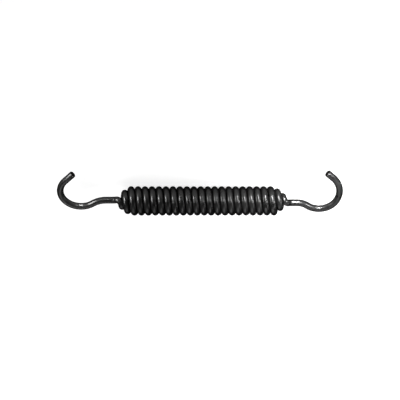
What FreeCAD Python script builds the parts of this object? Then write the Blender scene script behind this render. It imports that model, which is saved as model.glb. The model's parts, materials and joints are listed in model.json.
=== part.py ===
import FreeCAD, Part
import math
import os

Vector = FreeCAD.Vector

# Brake shoe return spring: one steel wire wound into a close right-hand coil, coned in at both ends,
# brought to the coil's centre line as a shank and bent into an open hook at each end.
# Millimetres and degrees. X runs along the coil, Z is up, and the spring lies as it comes to rest:
# on its coil and on the cut end of the longer hook.

doc = FreeCAD.newDocument("ReturnSpring")

# Driving dimensions of the whole spring
common_sizes = {
    "wireDiameter": 6.6,
    "coilMeanDiameter": 21.8,
    "coilPitch": 6.717,
    "bodyTurns": 20.5,
    "coilClocking": -38.0,  # first full turn, measured round the coil from the hooks' direction
}

# Driving dimensions of each end
end_sizes = {
    "Left": {
        "coneTurns": 1.63,
        "coneEndRadius": 4.61,  # centre line, where the wire leaves the cone
        "coneEase": 1.27,  # power by which the radius eases out of the full coil
        "conePitch": 6.76,  # at the full coil
        "coneClosing": 0.69,  # drawn in along the coil over the first turn of the cone
        "bendLead": 9.0,  # along the coil, from the cone to the straight shank
        "bendRatio": 2.25,  # of the bend's two arcs, tangent beside the cone to tangent beside the shank
        "shankOffset": 0.95,  # from the coil's axis, towards the hook's mouth
        "shankEnd": 93.0,  # from the middle of the coil
        "joggleRadius": 22.2,
        "joggleAngle": 34.8,
        "bowlRadius": 20.1,
        "bowlTurn": 87.9,
        "throatRadius": 17.6,
        "throatTurn": 80.6,
        "tipReach": 32.5,  # from the coil's axis to the middle of the cut end
    },
    "Right": {
        "coneTurns": 1.63,
        "coneEndRadius": 3.7,
        "coneEase": 1.01,
        "conePitch": 6.53,
        "coneClosing": 0.57,
        "bendLead": 8.15,
        "bendRatio": 2.45,
        "shankOffset": -2.2,
        "shankEnd": 91.1,
        "joggleRadius": 15.9,
        "joggleAngle": 37.9,
        "bowlRadius": 18.7,
        "bowlTurn": 95.6,
        "throatRadius": 23.3,
        "throatTurn": 76.9,
        "tipReach": 33.7,
    },
}

sizes = dict(common_sizes)
for end_name, values in end_sizes.items():
    for name, value in values.items():
        sizes[name + end_name] = value

sheet = doc.addObject("Spreadsheet::Sheet", "Sizes")
for row, (name, value) in enumerate(sizes.items(), start=1):
    sheet.set(f"A{row}", name)
    sheet.set(f"B{row}", str(value))
    sheet.setAlias(f"B{row}", name)
doc.recompute()


def size(name, end_name=""):
    return float(sheet.get(name + end_name))


wire_radius = size("wireDiameter") / 2
coil_radius = size("coilMeanDiameter") / 2
body_turns = size("bodyTurns")
half_body = body_turns * size("coilPitch") / 2
end_signs = {"Left": -1, "Right": 1}


# The hooks share one plane, which slopes down to the floor until the longer hook touches it beside the coil.
def tip_angle(end_name):
    """Direction of a hook's straight tip, from the way out along the coil towards the mouth."""
    turn = size("bowlTurn", end_name) + size("throatTurn", end_name) - size("joggleAngle", end_name)
    return math.radians(turn)


def lie_angle(end_name):
    """Slope of the hooks' plane at which this hook's cut end touches the floor."""
    steepness = math.sin(tip_angle(end_name))
    settling_steps = 8
    angle = 0.0
    for _ in range(settling_steps):
        end_drop = wire_radius * math.sqrt(1 - (steepness * math.sin(angle)) ** 2)
        angle = math.asin((coil_radius + wire_radius - end_drop) / size("tipReach", end_name))
    return angle


slope = min(lie_angle(end_name) for end_name in end_signs)
along = Vector(1, 0, 0)
to_mouth = Vector(0, math.cos(slope), -math.sin(slope))
plane_normal = along.cross(to_mouth)


def around(phase):
    """Unit vector out from the coil's axis, turned from to_mouth by the right-hand rule about X."""
    return to_mouth * math.cos(phase) + plane_normal * math.sin(phase)


# Two arcs that carry a line from one place and heading to another, with a common tangent where they meet
def tangent_arc(start, corner, end):
    tangent_length = (corner - start).Length
    half_chord = (end - start).Length / 2
    crown = corner + ((start + end) / 2 - corner) * (tangent_length / (tangent_length + half_chord))
    return Part.Arc(start, crown, end)


def two_arcs(start, start_heading, end, end_heading, ratio=1.0):
    """ratio is the second arc's tangent length over the first one's."""
    span = end - start
    # The corners of the tangents stand as far apart as the two tangents are long together.
    square = 2 * ratio * (start_heading.dot(end_heading) - 1)
    linear = -2 * span.dot(start_heading + end_heading * ratio)
    root = math.sqrt(linear**2 - 4 * square * span.dot(span))
    reach = (-linear - root) / (2 * square)
    first_corner = start + start_heading * reach
    second_corner = end - end_heading * (ratio * reach)
    meeting = first_corner + (second_corner - first_corner) / (1 + ratio)
    return [tangent_arc(start, first_corner, meeting), tangent_arc(meeting, second_corner, end)]


# Coil: a plain helix whose radius closes in over the last turns at each end
def cone_depth(turns, end_name):
    """Length of a cone, along the coil, over the given number of its turns."""
    return turns * size("conePitch", end_name) - turns**2 * size("coneClosing", end_name)


def coil_point(turn):
    """Centre line of the coil. Turns count from the middle of the coil, towards +X."""
    end_name = "Right" if turn > 0 else "Left"
    beyond = max(abs(turn) - body_turns / 2, 0)
    share = beyond / size("coneTurns", end_name)
    closed_in = (coil_radius - size("coneEndRadius", end_name)) * share ** size("coneEase", end_name)
    straight_part = min(abs(turn), body_turns / 2) * size("coilPitch")
    place = end_signs[end_name] * (straight_part + cone_depth(beyond, end_name))
    phase = math.radians(size("coilClocking")) + 2 * math.pi * (turn + body_turns / 2)
    return along * place + around(phase) * (coil_radius - closed_in)


def coil_heading(turn, last_turn):
    """Direction of the wire towards +X, taken between two points close on either side."""
    step = 1e-4
    before = max(turn - step, -last_turn["Left"])
    after = min(turn + step, last_turn["Right"])
    return (coil_point(after) - coil_point(before)).normalize()


def coil_curves():
    """Arcs along the whole coil, with the places and headings of its two ends."""
    last_turn = {name: body_turns / 2 + size("coneTurns", name) for name in end_signs}
    body_stretches = 4  # a turn
    cone_stretches = 6
    stretches = [
        (-last_turn["Left"], -body_turns / 2, cone_stretches),
        (-body_turns / 2, body_turns / 2, body_stretches),
        (body_turns / 2, last_turn["Right"], cone_stretches),
    ]
    stops = [-last_turn["Left"]]
    for first, last, stretches_a_turn in stretches:
        count = math.ceil((last - first) * stretches_a_turn)
        stops += [first + (last - first) * (i + 1) / count for i in range(count)]
    points = [coil_point(stop) for stop in stops]
    headings = [coil_heading(stop, last_turn) for stop in stops]
    curves = []
    for i in range(len(stops) - 1):
        curves += two_arcs(points[i], headings[i], points[i + 1], headings[i + 1])
    ends = {"Left": (points[0], headings[0]), "Right": (points[-1], headings[-1] * -1)}
    return curves, ends


# Hook: straight shank, joggle, bowl, throat and straight tip, bent one after the other in the hooks' plane
def shank_start(end_name):
    cone_end = half_body + cone_depth(size("coneTurns", end_name), end_name)
    out = end_signs[end_name] * (cone_end + size("bendLead", end_name))
    return along * out + to_mouth * size("shankOffset", end_name)


def hook_curves(end_name):
    """Lines and arcs of a hook, with the middle and the direction of its cut end."""
    outward = along * end_signs[end_name]

    def heading(angle):
        return outward * math.cos(angle) + to_mouth * math.sin(angle)

    place = outward * size("shankEnd", end_name) + to_mouth * size("shankOffset", end_name)
    curves = [Part.LineSegment(shank_start(end_name), place)]
    bends = [
        (size("joggleRadius", end_name), -size("joggleAngle", end_name)),
        (size("bowlRadius", end_name), size("bowlTurn", end_name)),
        (size("throatRadius", end_name), size("throatTurn", end_name)),
    ]
    angle = 0.0
    for radius, turn in bends:
        to_centre = math.copysign(math.pi / 2, turn)
        centre = place + heading(angle + to_centre) * radius
        half_turn = math.radians(turn) / 2
        crown = centre - heading(angle + half_turn + to_centre) * radius
        angle += 2 * half_turn
        end = centre - heading(angle + to_centre) * radius
        curves.append(Part.Arc(place, crown, end))
        place = end
    tip_length = (size("tipReach", end_name) - place.dot(to_mouth)) / math.sin(angle)
    tip_end = place + heading(angle) * tip_length
    curves.append(Part.LineSegment(place, tip_end))
    return curves, tip_end, heading(angle)


# Centre line of the whole wire, from the left tip to the right one
curves, coil_ends = coil_curves()
for end_name, sign in end_signs.items():
    hook, tip_end, tip_heading = hook_curves(end_name)
    smallest_turn, inward = coil_ends[end_name]
    bend_ratio = size("bendRatio", end_name)
    curves += two_arcs(shank_start(end_name), along * -sign, smallest_turn, inward, bend_ratio)
    curves += hook
wire_line = doc.addObject("Part::Feature", "WireLine")
wire_line.Shape = Part.Wire(Part.__sortEdges__([curve.toShape() for curve in curves]))

# Wire section, square to the last tip
section = doc.addObject("Part::Circle", "WireSection")
section.setExpression("Radius", "Sizes.wireDiameter / 2")
section.Placement = FreeCAD.Placement(tip_end, FreeCAD.Rotation(Vector(0, 0, 1), tip_heading))

spring = doc.addObject("Part::Sweep", "ReturnSpring")
spring.Label = "return_spring"
spring.Sections = [section]
spring.Spine = (wire_line, [f"Edge{i + 1}" for i in range(len(wire_line.Shape.Edges))])
spring.Solid = True
spring.Frenet = False
doc.recompute()

# The origin is under the middle of the spring, on the surface it lies on.
box = spring.Shape.optimalBoundingBox(False, False)
spring.Placement = FreeCAD.Placement(Vector(-box.Center.x, -box.Center.y, -box.ZMin), FreeCAD.Rotation())

for item in doc.Objects:
    if "Invalid" in item.State or "Error" in item.State:
        raise RuntimeError(f"{item.Name} did not build: {item.State}")
if spring.Shape.isNull() or not spring.Shape.isValid():
    raise RuntimeError(f"{spring.Label} has no valid shape")

wire_length = wire_line.Shape.Length
section_volume = wire_length * math.pi * wire_radius**2
arcs = [edge.Curve for edge in wire_line.Shape.Edges if isinstance(edge.Curve, Part.Circle)]
tightest = min(arc.Radius for arc in arcs)
print(f"wire {wire_length:.1f} mm long, tightest bend {tightest:.2f} mm")
print(f"hooks slope {math.degrees(slope):.2f} degrees")
print(f"volume {spring.Shape.Volume:.0f} mm3, section times length {section_volume:.0f} mm3")

os.makedirs("parts", exist_ok=True)
spring.Shape.exportStep(f"parts/{spring.Label}.step")
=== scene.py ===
import json
import math

import bmesh
import bpy
from mathutils import Matrix, Vector

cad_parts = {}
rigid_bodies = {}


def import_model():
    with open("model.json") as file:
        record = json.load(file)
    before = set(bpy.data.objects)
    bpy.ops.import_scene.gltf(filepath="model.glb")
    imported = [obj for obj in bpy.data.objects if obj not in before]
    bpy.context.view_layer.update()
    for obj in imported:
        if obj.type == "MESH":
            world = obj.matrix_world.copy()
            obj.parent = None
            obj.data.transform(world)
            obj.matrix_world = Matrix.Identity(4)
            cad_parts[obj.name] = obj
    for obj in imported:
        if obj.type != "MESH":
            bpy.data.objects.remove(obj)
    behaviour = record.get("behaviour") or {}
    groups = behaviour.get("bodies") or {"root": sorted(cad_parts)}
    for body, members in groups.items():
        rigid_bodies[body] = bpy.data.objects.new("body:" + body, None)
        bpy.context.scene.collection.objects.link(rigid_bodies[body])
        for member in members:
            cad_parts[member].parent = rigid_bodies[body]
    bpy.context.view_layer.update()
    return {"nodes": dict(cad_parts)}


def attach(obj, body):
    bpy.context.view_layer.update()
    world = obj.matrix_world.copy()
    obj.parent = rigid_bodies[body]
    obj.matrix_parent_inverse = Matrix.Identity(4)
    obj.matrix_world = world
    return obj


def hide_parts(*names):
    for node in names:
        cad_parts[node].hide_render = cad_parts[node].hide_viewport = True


for leftover in list(bpy.data.objects):  # the startup cube, lamp and camera
    bpy.data.objects.remove(leftover)
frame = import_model()
print("frame loaded:", sorted(frame["nodes"]))


def meshFrom(name, bm):
    mesh = bpy.data.meshes.new(name)
    bm.to_mesh(mesh)
    bm.free()
    return mesh


def addObject(name, data):
    item = bpy.data.objects.new(name, data)
    bpy.context.scene.collection.objects.link(item)
    return item


def newNode(tree, kind, values=None, **settings):
    # values are for the node's sockets, by label or by number
    node = tree.nodes.new(kind)
    for name, value in settings.items():
        setattr(node, name, value)
    for socket, value in (values or {}).items():
        node.inputs[socket].default_value = value
    return node


def rangeNode(tree, source, target, **settings):
    labels = ("From Min", "From Max", "To Min", "To Max")
    return newNode(tree, "ShaderNodeMapRange", dict(zip(labels, source + target)), **settings)


def join(tree, *pairs):
    for output, socket in pairs:
        tree.links.new(output, socket)


def startMaterial(name):
    material = bpy.data.materials.new(name)
    material.use_nodes = True
    tree = material.node_tree
    tree.nodes.clear()
    output = newNode(tree, "ShaderNodeOutputMaterial")
    return material, tree, output


def startGroup(name, inputs, outputs):
    group = bpy.data.node_groups.new(name, "ShaderNodeTree")
    for way, sockets in (("INPUT", inputs), ("OUTPUT", outputs)):
        for label, kind in sockets:
            group.interface.new_socket(label, in_out=way, socket_type=kind)
    return group, newNode(group, "NodeGroupInput"), newNode(group, "NodeGroupOutput")


# the wire, one piece over the CAD node; metres
wire = {
    "node": "return_spring",
    "slot": "black_finish",
    "mergeDistance": 1e-6,
    "rimAngle": math.radians(60),  # the cut ends' edges are the only sharp ones
    "rimBreak": 0.0005,  # edge knocked off the sheared ends
    "rimSteps": 3,
    "rubbedSlope": 0.55,  # the film is off the broken edge where it faces up at least this much
    "shearInset": 0.0007,
    "shearDish": 0.00015,
    "sideCorners": 4,  # the most that a face has, apart from the two cut ends
    "sharpAngle": math.radians(35),
    "straightAttribute": "straightWire",
    "finishes": ("blackFinish", "shearedEnd", "bareRim"),
}


def rimOf(bm):
    # vertices round the two cut ends, each once and in a steady order
    edges = [edge for edge in bm.edges if edge.calc_face_angle(0) > wire["rimAngle"]]
    return dict.fromkeys(vert for edge in edges for vert in edge.verts)


def wireRings(rimVerts):
    # rings of vertices along the wire, from the left cut end to the right one
    ring = [vert for vert in rimVerts if vert.co.x < 0]
    seen = set(ring)
    rings = []
    while ring:
        rings.append(ring)
        near = dict.fromkeys(edge.other_vert(vert) for vert in ring for edge in vert.link_edges)
        ring = [vert for vert in near if vert not in seen]
        seen.update(ring)
    return rings


def straighten(rings, layer):
    # each point's place on the wire if it were pulled straight along X
    centres = [sum((vert.co for vert in ring), Vector()) / len(ring) for ring in rings]
    lean = Vector((0, 0, 1))
    run = 0.0
    for i, ring in enumerate(rings):
        before = centres[max(i - 1, 0)]
        after = centres[min(i + 1, len(rings) - 1)]
        heading = (after - before).normalized()
        lean = (lean - heading * lean.dot(heading)).normalized()
        side = heading.cross(lean)
        run += (centres[i] - before).length
        for vert in ring:
            out = vert.co - centres[i]
            vert[layer] = Vector((run, out.dot(lean), out.dot(side)))
    return run


def shearEnds(bm, rimVerts):
    # the cut ends: edge knocked off, face a little dished
    capFaces = [face for face in bm.faces if all(vert in rimVerts for vert in face.verts)]
    caps = bmesh.ops.dissolve_faces(bm, faces=capFaces, use_verts=False)["region"]
    for cap in caps:
        cap.material_index = wire["finishes"].index("shearedEnd")
    rimEdges = list(dict.fromkeys(edge for cap in caps for edge in cap.edges))
    broken = bmesh.ops.bevel(
        bm, geom=rimEdges, offset=wire["rimBreak"], offset_type="OFFSET", affect="EDGES",
        segments=wire["rimSteps"], profile=0.5, material=-1, clamp_overlap=True,
    )
    for face in broken["faces"]:
        if face.normal.z > wire["rubbedSlope"]:
            face.material_index = wire["finishes"].index("bareRim")
    caps = [face for face in bm.faces if len(face.verts) > wire["sideCorners"]]
    bmesh.ops.inset_individual(
        bm, faces=caps, thickness=wire["shearInset"], depth=-wire["shearDish"],
        use_even_offset=True,
    )
    return len(caps)


def buildWire():
    bm = bmesh.new()
    bm.from_mesh(frame["nodes"][wire["node"]].data)
    bmesh.ops.remove_doubles(bm, verts=bm.verts[:], dist=wire["mergeDistance"])
    # a new layer drops the vertices picked so far, so it comes before the rim
    layer = bm.verts.layers.float_vector.new(wire["straightAttribute"])
    rimVerts = rimOf(bm)
    length = straighten(wireRings(rimVerts), layer)
    capCount = shearEnds(bm, rimVerts)
    for face in bm.faces:
        face.smooth = True
    for edge in bm.edges:
        edge.smooth = edge.calc_face_angle(0) < wire["sharpAngle"]
    mesh = meshFrom("springWire", bm)
    if "custom_normal" in mesh.attributes:
        mesh.attributes.remove(mesh.attributes["custom_normal"])
    print(f"wire: {length:.3f} m long, {capCount} cut ends, {len(mesh.polygons)} faces")
    return addObject("springWire", mesh)


springWire = buildWire()

# the black film; the cut ends, coloured near black as painted shade on the sheared steel; and
# the bare steel on their edges
finish = {
    "paintDark": (0.0038, 0.0038, 0.0038, 1),
    "paintPale": (0.0080, 0.0080, 0.0080, 1),
    "roughness": (0.26, 0.33),
    "specular": (0.42, 0.0),  # facing the eye, and at the wire's outline
    "falloff": (0.08, 0.46),  # share of the turn from facing to outline
    "blotchScale": 140.0,  # per metre
    "blotchDetail": 3.0,
    "blotchRoughness": 0.6,
    "blotchBand": (0.35, 0.65),  # of the noise, spread over the whole range
    "grainFiner": 9.0,  # times the blotches' scale
    "grainDetail": 2.0,
    "drawScale": 1300.0,  # lines across the wire, per metre
    "drawStretch": 0.02,  # their scale along the wire, as a share of that
    "drawDetail": 2.0,
    "bump": 0.035,
    "bumpHeight": 0.00006,
    # the cut faces' near-black colour is painted shade, darker than their sheared steel
    "shearShadeDark": (0.002, 0.002, 0.002, 1),
    "shearShadePale": (0.008, 0.008, 0.008, 1),
    "shearRoughness": 0.55,
    "shearSpecular": 0.0,
    "shearScale": 600.0,  # per metre
    "shearBump": 0.5,
    "shearBumpHeight": 0.0002,
    "bareSteel": (0.50, 0.50, 0.50, 1),
    "bareMetallic": 1.0,
    "bareRoughness": 0.30,
}
wholeRange = (0.0, 1.0)


def noiseNode(tree, values):
    return newNode(tree, "ShaderNodeTexNoise", values, noise_dimensions="3D")


def bumpNode(tree, strength, height):
    return newNode(tree, "ShaderNodeBump", {"Strength": strength, "Distance": height})


def colourRamp(tree, dark, pale):
    ramp = newNode(tree, "ShaderNodeValToRGB")
    ramp.color_ramp.elements[0].color = dark
    ramp.color_ramp.elements[1].color = pale
    return ramp


def makeBlotches():
    # broad uneven film and fine grain, both from 0 to 1
    group, source, sink = startGroup(
        "filmBlotches",
        [("Vector", "NodeSocketVector"), ("Scale", "NodeSocketFloat")],
        [("Blotch", "NodeSocketFloat"), ("Grain", "NodeSocketFloat")],
    )
    broad = noiseNode(
        group, {"Detail": finish["blotchDetail"], "Roughness": finish["blotchRoughness"]},
    )
    spread = rangeNode(group, finish["blotchBand"], wholeRange)
    finer = newNode(group, "ShaderNodeMath", {1: finish["grainFiner"]}, operation="MULTIPLY")
    grain = noiseNode(group, {"Detail": finish["grainDetail"]})
    join(
        group,
        (source.outputs["Vector"], broad.inputs["Vector"]),
        (source.outputs["Scale"], broad.inputs["Scale"]),
        (broad.outputs["Fac"], spread.inputs["Value"]),
        (spread.outputs["Result"], sink.inputs["Blotch"]),
        (source.outputs["Scale"], finer.inputs[0]),
        (source.outputs["Vector"], grain.inputs["Vector"]),
        (finer.outputs[0], grain.inputs["Scale"]),
        (grain.outputs["Fac"], sink.inputs["Grain"]),
    )
    return group


filmBlotches = makeBlotches()


def blotchNode(tree, scale):
    return newNode(tree, "ShaderNodeGroup", {"Scale": scale}, node_tree=filmBlotches)


def makeBlackFinish(name):
    material, tree, output = startMaterial(name)
    shader = newNode(tree, "ShaderNodeBsdfPrincipled")
    place = newNode(tree, "ShaderNodeTexCoord")
    straight = newNode(tree, "ShaderNodeAttribute", attribute_name=wire["straightAttribute"])
    blotches = blotchNode(tree, finish["blotchScale"])
    colour = colourRamp(tree, finish["paintDark"], finish["paintPale"])
    # lines left by drawing the wire, much longer than wide
    stretch = newNode(
        tree, "ShaderNodeMapping", {"Scale": (finish["drawStretch"], 1, 1)}, vector_type="POINT",
    )
    drawLines = noiseNode(tree, {"Scale": finish["drawScale"], "Detail": finish["drawDetail"]})
    roughRange = rangeNode(tree, wholeRange, finish["roughness"])
    turned = newNode(tree, "ShaderNodeLayerWeight")
    mirror = rangeNode(tree, finish["falloff"], finish["specular"])
    heights = newNode(tree, "ShaderNodeMath", operation="ADD")
    bump = bumpNode(tree, finish["bump"], finish["bumpHeight"])
    join(
        tree,
        (place.outputs["Object"], blotches.inputs["Vector"]),
        (blotches.outputs["Blotch"], colour.inputs["Fac"]),
        (colour.outputs["Color"], shader.inputs["Base Color"]),
        (blotches.outputs["Blotch"], roughRange.inputs["Value"]),
        (roughRange.outputs["Result"], shader.inputs["Roughness"]),
        (turned.outputs["Facing"], mirror.inputs["Value"]),
        (mirror.outputs["Result"], shader.inputs["Specular IOR Level"]),
        (straight.outputs["Vector"], stretch.inputs["Vector"]),
        (stretch.outputs["Vector"], drawLines.inputs["Vector"]),
        (drawLines.outputs["Fac"], heights.inputs[0]),
        (blotches.outputs["Grain"], heights.inputs[1]),
        (heights.outputs[0], bump.inputs["Height"]),
        (bump.outputs["Normal"], shader.inputs["Normal"]),
        (shader.outputs["BSDF"], output.inputs["Surface"]),
    )
    return material


def makeShearedEnd(name):
    material, tree, output = startMaterial(name)
    shader = newNode(
        tree, "ShaderNodeBsdfPrincipled",
        {"Roughness": finish["shearRoughness"], "Specular IOR Level": finish["shearSpecular"]},
    )
    place = newNode(tree, "ShaderNodeTexCoord")
    blotches = blotchNode(tree, finish["shearScale"])
    # near black on the cut faces: painted shade, darker than the sheared steel
    colour = colourRamp(tree, finish["shearShadeDark"], finish["shearShadePale"])
    bump = bumpNode(tree, finish["shearBump"], finish["shearBumpHeight"])
    join(
        tree,
        (place.outputs["Object"], blotches.inputs["Vector"]),
        (blotches.outputs["Blotch"], colour.inputs["Fac"]),
        (colour.outputs["Color"], shader.inputs["Base Color"]),
        (blotches.outputs["Blotch"], bump.inputs["Height"]),
        (bump.outputs["Normal"], shader.inputs["Normal"]),
        (shader.outputs["BSDF"], output.inputs["Surface"]),
    )
    return material


def makeBareRim(name):
    material, tree, output = startMaterial(name)
    shader = newNode(
        tree, "ShaderNodeBsdfPrincipled",
        {
            "Base Color": finish["bareSteel"],
            "Metallic": finish["bareMetallic"],
            "Roughness": finish["bareRoughness"],
        },
    )
    join(tree, (shader.outputs["BSDF"], output.inputs["Surface"]))
    return material


for name, makeFinish in zip(wire["finishes"], (makeBlackFinish, makeShearedEnd, makeBareRim)):
    springWire.data.materials.append(makeFinish(name))
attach(springWire, "root")
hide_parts(wire["node"])
print("finishes on:", [material.name for material in springWire.data.materials])

# the pale floor; its glow lifts it to white, less beside the spring so that the shadow stays
floor = {
    "half": 6.0,  # metres
    "colour": (0.50, 0.50, 0.50, 1),
    "glow": (0.73, 0.91),  # beside the spring, and away from it
    "glowReach": (0.06, 0.20),  # metres from the middle of the spring, between the two
}


def makePaleFloor():
    material, tree, output = startMaterial("paleFloor")
    matte = newNode(tree, "ShaderNodeBsdfDiffuse", {"Color": floor["colour"]})
    glow = newNode(tree, "ShaderNodeEmission")
    path = newNode(tree, "ShaderNodeLightPath")
    seen = newNode(tree, "ShaderNodeMath", operation="ADD")
    seenToo = newNode(tree, "ShaderNodeMath", operation="ADD", use_clamp=True)
    place = newNode(tree, "ShaderNodeTexCoord")
    away = newNode(tree, "ShaderNodeVectorMath", operation="LENGTH")
    fade = rangeNode(tree, floor["glowReach"], floor["glow"], interpolation_type="SMOOTHSTEP")
    strength = newNode(tree, "ShaderNodeMath", operation="MULTIPLY")
    both = newNode(tree, "ShaderNodeAddShader")
    join(
        tree,
        (path.outputs["Is Camera Ray"], seen.inputs[0]),
        (path.outputs["Is Glossy Ray"], seen.inputs[1]),
        (seen.outputs[0], seenToo.inputs[0]),
        (path.outputs["Is Transmission Ray"], seenToo.inputs[1]),
        (seenToo.outputs[0], strength.inputs[0]),
        (place.outputs["Object"], away.inputs[0]),
        (away.outputs["Value"], fade.inputs["Value"]),
        (fade.outputs["Result"], strength.inputs[1]),
        (strength.outputs[0], glow.inputs["Strength"]),
        (matte.outputs["BSDF"], both.inputs[0]),
        (glow.outputs["Emission"], both.inputs[1]),
        (both.outputs["Shader"], output.inputs["Surface"]),
    )
    return material


def buildFloor():
    bm = bmesh.new()
    bmesh.ops.create_grid(bm, x_segments=1, y_segments=1, size=floor["half"])
    sheet = addObject("floor", meshFrom("floor", bm))
    sheet.data.materials.append(makePaleFloor())


buildFloor()

# soft studio light; metres, watts and degrees
softboxes = {
    "rightStrip": {
        "at": (0.1512, 0.307, 0.1445), "aim": (0.09, 0, 0.014), "size": (0.05, 0.26),
        "power": 0.14, "spread": 38,
    },
    "rightLow": {
        "at": (0.1137, 0.3392, 0.0625), "aim": (0.09, 0, 0.0625), "size": (0.06, 0.115),
        "power": 0.06, "spread": 38,
    },
    "rightFoot": {
        "at": (0.125, 0.34, 0.0325), "aim": (0.125, 0, 0.0325), "size": (0.09, 0.055),
        "power": 0.12, "spread": 26,
    },
    "rightFront": {
        "at": (0.364, 0.1925, 0.136), "aim": (0.125, 0, 0.012), "size": (0.08, 0.1),
        "power": 0.04, "spread": 22,
    },
    "rightSide": {
        "at": (0.3194, 0, 0.1746), "aim": (0.09, 0, 0.014), "size": (0.12, 0.16),
        "power": 0.13, "spread": 120,
    },
    "coilBack": {
        "at": (0.035, -0.1107, 0.3215), "aim": (0.035, 0, 0), "size": (0.09, 0.3),
        "power": 0.05, "spread": 50,
    },
    "rightHookBack": {
        "at": (0.165, -0.1107, 0.3215), "aim": (0.165, 0, 0), "size": (0.1, 0.16),
        "power": 0.022, "spread": 60,
    },
    "leftStrip": {
        "at": (-0.360, 0.1695, 0.102), "aim": (-0.08, 0, 0.014), "size": (0.05, 0.24),
        "power": 0.08, "spread": 40,
    },
    "leftLow": {
        "at": (-0.3405, 0.2185, 0.0525), "aim": (-0.08, 0, 0.0525), "size": (0.05, 0.095),
        "power": 0.075, "spread": 40,
    },
    "leftFoot": {
        "at": (-0.125, 0.34, 0.0325), "aim": (-0.125, 0, 0.0325), "size": (0.04, 0.055),
        "power": 0.02, "spread": 10,
    },
    "floorWash": {
        "at": (-0.2, -0.85, 0.75), "aim": (-0.05, 0.1, 0), "size": (0.9, 0.7),
        "power": 5.5, "spread": 180,
    },
    "leftBack": {
        "at": (-0.165, -0.1107, 0.3215), "aim": (-0.165, 0, 0), "size": (0.1, 0.16),
        "power": 0.015, "spread": 40,
    },
}


def addSoftbox(name, box):
    lamp = bpy.data.lights.new(name, "AREA")
    lamp.shape = "RECTANGLE"
    lamp.size, lamp.size_y = box["size"]
    lamp.energy = box["power"]
    lamp.spread = math.radians(box["spread"])
    holder = addObject(name, lamp)
    back = (Vector(box["at"]) - Vector(box["aim"])).normalized()
    holder.location = box["at"]
    holder.rotation_euler = back.to_track_quat("Z", "Y").to_euler()


for name, box in softboxes.items():
    addSoftbox(name, box)

studio = {"colour": (1, 1, 1, 1), "strength": 0.03}
world = bpy.data.worlds.new("studio")
world.use_nodes = True
background = world.node_tree.nodes["Background"]
background.inputs["Color"].default_value = studio["colour"]
background.inputs["Strength"].default_value = studio["strength"]
bpy.context.scene.world = world
bpy.context.scene.view_settings.view_transform = "Standard"
print("floor and light ready")

# camera: from the hooks' side, turned over so that the hooks point up in the picture
view = {
    "pictureSize": 400,  # pixels, square
    "pixel": 0.000964,  # metres a pixel stands for, at the coil
    "coilMiddle": Vector((0.00249, -0.01005, 0.0142)),
    "coilPixel": (202.5, 200.9),  # where the coil's middle shows
    "tilt": math.radians(-57.03),
    "distance": 2.4,  # metres
    "sensor": 36.0,  # millimetres
}


def placeCamera():
    data = bpy.data.cameras.new("camera")
    width = view["pictureSize"] * view["pixel"]
    data.sensor_width = view["sensor"]
    data.lens = data.sensor_width * view["distance"] / width
    camera = addObject("camera", data)
    right, up, back = Matrix.Rotation(view["tilt"], 3, "X").transposed()
    across, down = (place - view["pictureSize"] / 2 for place in view["coilPixel"])
    aim = view["coilMiddle"] - right * across * view["pixel"] + up * down * view["pixel"]
    camera.location = aim + back * view["distance"]
    camera.rotation_euler = (view["tilt"], 0, 0)
    bpy.context.scene.camera = camera


placeCamera()
print("camera placed")
